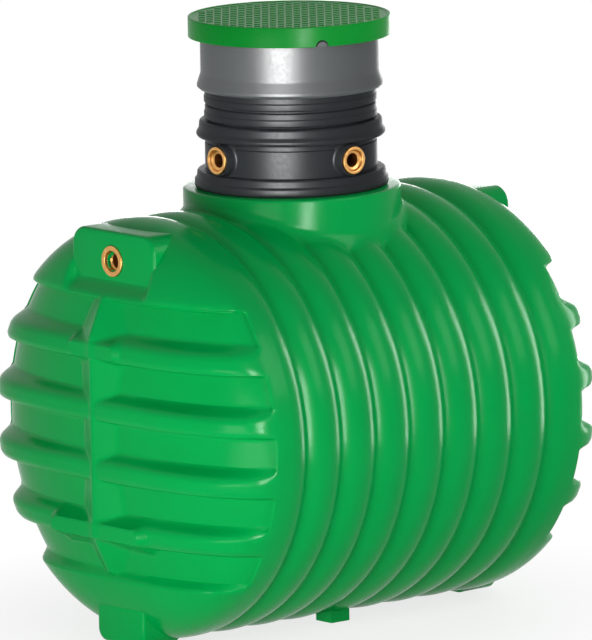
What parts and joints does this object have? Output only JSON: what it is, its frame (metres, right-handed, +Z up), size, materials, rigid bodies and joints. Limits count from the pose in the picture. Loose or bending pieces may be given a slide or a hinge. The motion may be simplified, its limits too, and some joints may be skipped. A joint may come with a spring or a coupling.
{
  "type": "underground septic tank",
  "caption": "Ribbed lying underground septic tank with domed ribbed ends, ported end bosses, feet, manway neck, ported riser, sliding height ring and lift-off tread lid.",
  "frame": {"origin": "on the floor under the middle of the tank, at the level of the feet", "axes": "+X along the barrel from the front end to the rear end, +Y to the left side, +Z up through the manway"},
  "size_m": [1.7, 1.35, 1.947],
  "materials": {
    "tank_green": "satin moulded polyethylene",
    "lid_green": "satin moulded polyethylene with raised tread",
    "riser_dark": "satin dark grey polyethylene",
    "ring_grey": "satin grey polyethylene",
    "brass_socket": "turned brass",
    "seal_rubber": "matte rubber"
  },
  "bodies": {
    "tank": {"barrel_crown_left": "tank_green", "barrel_crown_right": "tank_green", "barrel_shoulder_left": "tank_green", "barrel_shoulder_right": "tank_green", "barrel_flank_left": "tank_green", "barrel_flank_right": "tank_green", "barrel_keel_left": "tank_green", "barrel_keel_right": "tank_green", "front_end": "tank_green", "rear_end": "tank_green", "front_parting_fin": "tank_green", "rear_parting_fin": "tank_green", "front_upper_pad": "tank_green", "front_lower_pad": "tank_green", "rear_upper_pad": "tank_green", "rear_lower_pad": "tank_green", "front_port_boss": "tank_green", "rear_port_boss": "tank_green", "front_foot": "tank_green", "rear_foot": "tank_green", "left_foot": "tank_green", "right_foot": "tank_green", "manway_neck": "tank_green", "riser_foot": "riser_dark", "riser_port_wall": "riser_dark", "riser_collar": "riser_dark", "riser_rings": "riser_dark", "front_stub": "riser_dark", "right_stub": "riser_dark", "rear_stub": "riser_dark", "left_stub": "riser_dark", "front_socket": "brass_socket", "rear_socket": "brass_socket", "front_riser_socket": "brass_socket", "right_riser_socket": "brass_socket", "rear_riser_socket": "brass_socket", "left_riser_socket": "brass_socket"},
    "telescope": {"telescope_ring": "ring_grey", "telescope_seal": "seal_rubber", "front_lug": "ring_grey", "rear_lug": "ring_grey"},
    "lid": {"lid": "lid_green"}
  },
  "joints": [
    {"name": "telescope_slide", "type": "slide", "parent": "tank", "child": "telescope", "axis": [0, 0, 1], "range_m": [-0.085, 0.05]},
    {"name": "lid_lift", "type": "slide", "parent": "telescope", "child": "lid", "axis": [0, 0, 1], "range_m": [0, 0.3]}
  ]
}
